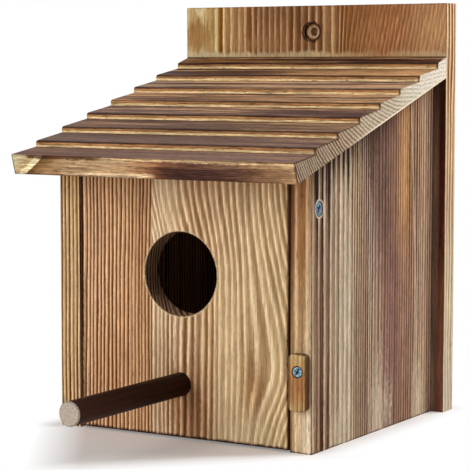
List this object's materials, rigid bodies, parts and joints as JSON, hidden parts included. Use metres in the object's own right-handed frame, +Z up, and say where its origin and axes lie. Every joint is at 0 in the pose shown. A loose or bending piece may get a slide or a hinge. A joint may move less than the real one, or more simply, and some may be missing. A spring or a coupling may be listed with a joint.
{
  "type": "nest box",
  "caption": "Flamed timber nest box with a round entrance, dowel perch, stepped sloping roof, tall back board, and a clean-out front held by a turn button.",
  "frame": {"origin": "middle of the box's footprint, on the plane it stands on", "axes": "+Z up, the front with the entrance faces -Y, the back board's rear face looks along +Y, the turn button is on the +X wall"},
  "size_m": [0.165, 0.2424, 0.222],
  "materials": {
    "flamed_softwood": "flame-burnt and brushed, dark late-wood lines on tan",
    "plain_softwood": "sawn, lightly flamed",
    "burnt_softwood": "deeply flamed treads with paler risers",
    "pale_softwood": "lightly flamed and brushed, strong straight grain",
    "brown_softwood": "flamed",
    "dark_dowel": "dark brown side with a bare pale end",
    "zinc_screw": "bluish zinc plate"
  },
  "bodies": {
    "box": {"back_board": "flamed_softwood", "left_wall": "flamed_softwood", "right_wall": "flamed_softwood", "floor_board": "plain_softwood", "roof_board": "burnt_softwood", "turn_button_screw": "zinc_screw", "left_pivot_screw": "zinc_screw", "right_pivot_screw": "zinc_screw", "left_wall_screw_lower": "zinc_screw", "left_wall_screw_upper": "zinc_screw", "right_wall_screw_lower": "zinc_screw", "right_wall_screw_upper": "zinc_screw", "floor_screw_left": "zinc_screw", "floor_screw_right": "zinc_screw"},
    "front": {"front_panel": "pale_softwood", "perch": "dark_dowel"},
    "button": {"turn_button": "brown_softwood"}
  },
  "joints": [
    {"name": "front_panel_swing", "type": "hinge", "parent": "box", "child": "front", "pos_m": [0, -0.0665, 0.1196], "axis": [-1, 0, 0], "range_deg": [0, 90]},
    {"name": "turn_button_turn", "type": "hinge", "parent": "box", "child": "button", "pos_m": [0.069, -0.0735, 0.0408], "axis": [0, 1, 0], "range_deg": [0, 90]}
  ]
}
